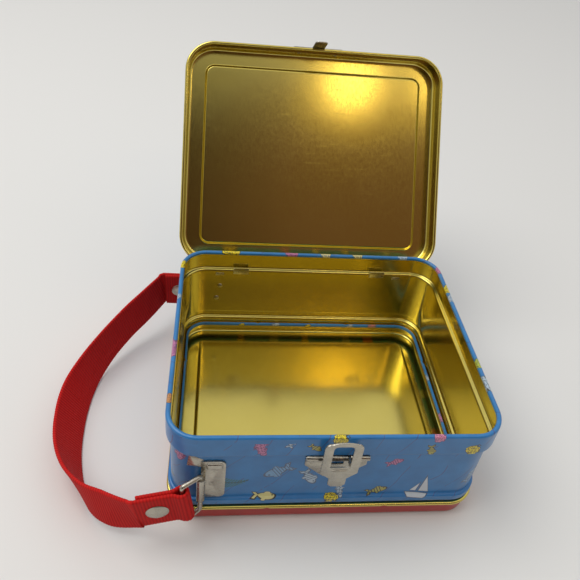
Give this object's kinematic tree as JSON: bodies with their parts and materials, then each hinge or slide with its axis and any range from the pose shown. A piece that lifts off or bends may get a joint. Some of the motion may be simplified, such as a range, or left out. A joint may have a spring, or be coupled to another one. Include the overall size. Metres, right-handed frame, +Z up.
{
  "type": "metal lunch box",
  "caption": "Tinplate lunch box lying flat with its hinged lid open, lacquered inside, rocking latch on the front and a webbing strap on wire rings at one side",
  "frame": {"origin": "centre of the flat underside of the bottom cover", "axes": "+X to the right along the latch side, +Y from the latch side to the hinge side, +Z up out of the box"},
  "size_m": [0.2173, 0.2263, 0.1722],
  "materials": {
    "blue_litho": "gloss",
    "red_litho": "gloss",
    "gold_lacquer": "gloss",
    "nickel_plate": "satin",
    "webbing": "matte"
  },
  "bodies": {
    "tin": {"body_band": "blue_litho", "bottom_cover": "red_litho", "hinge_leaf_left": "nickel_plate", "hinge_leaf_right": "nickel_plate", "latch_base_plate": "nickel_plate", "latch_pin": "nickel_plate", "latch_rivets": "nickel_plate", "strap_bracket_front": "nickel_plate", "strap_bracket_rear": "nickel_plate", "bracket_rivets_front": "nickel_plate", "bracket_rivets_rear": "nickel_plate", "strap_middle": "webbing"},
    "lid": {"lid": "red_litho", "lid_catch_plate": "nickel_plate", "catch_rivets": "nickel_plate", "hinge_wire_left": "nickel_plate", "hinge_wire_right": "nickel_plate"},
    "latch": {"latch_lever": "nickel_plate"},
    "ring_front": {"strap_ring_front": "nickel_plate", "strap_end_front": "webbing", "strap_rivet_front": "nickel_plate", "strap_rivet_cap_front": "nickel_plate"},
    "ring_rear": {"strap_ring_rear": "nickel_plate", "strap_end_rear": "webbing", "strap_rivet_rear": "nickel_plate", "strap_rivet_cap_rear": "nickel_plate"}
  },
  "joints": [
    {"name": "lid_hinge", "type": "hinge", "parent": "tin", "child": "lid", "pos_m": [0, 0.06603, 0.0547], "axis": [1, 0, 0], "range_deg": [0, 124.5]},
    {"name": "latch_rock", "type": "hinge", "parent": "tin", "child": "latch", "pos_m": [0, -0.06416, 0.05047], "axis": [1, 0, 0], "range_deg": [-6, 0]},
    {"name": "ring_front_swing", "type": "hinge", "parent": "tin", "child": "ring_front", "pos_m": [-0.0609, -0.06586, 0.03], "axis": [0, 0, 1], "range_deg": [0, 14]},
    {"name": "ring_rear_swing", "type": "hinge", "parent": "tin", "child": "ring_rear", "pos_m": [-0.0609, 0.06586, 0.03], "axis": [0, 0, 1], "range_deg": [-14, 0]}
  ]
}
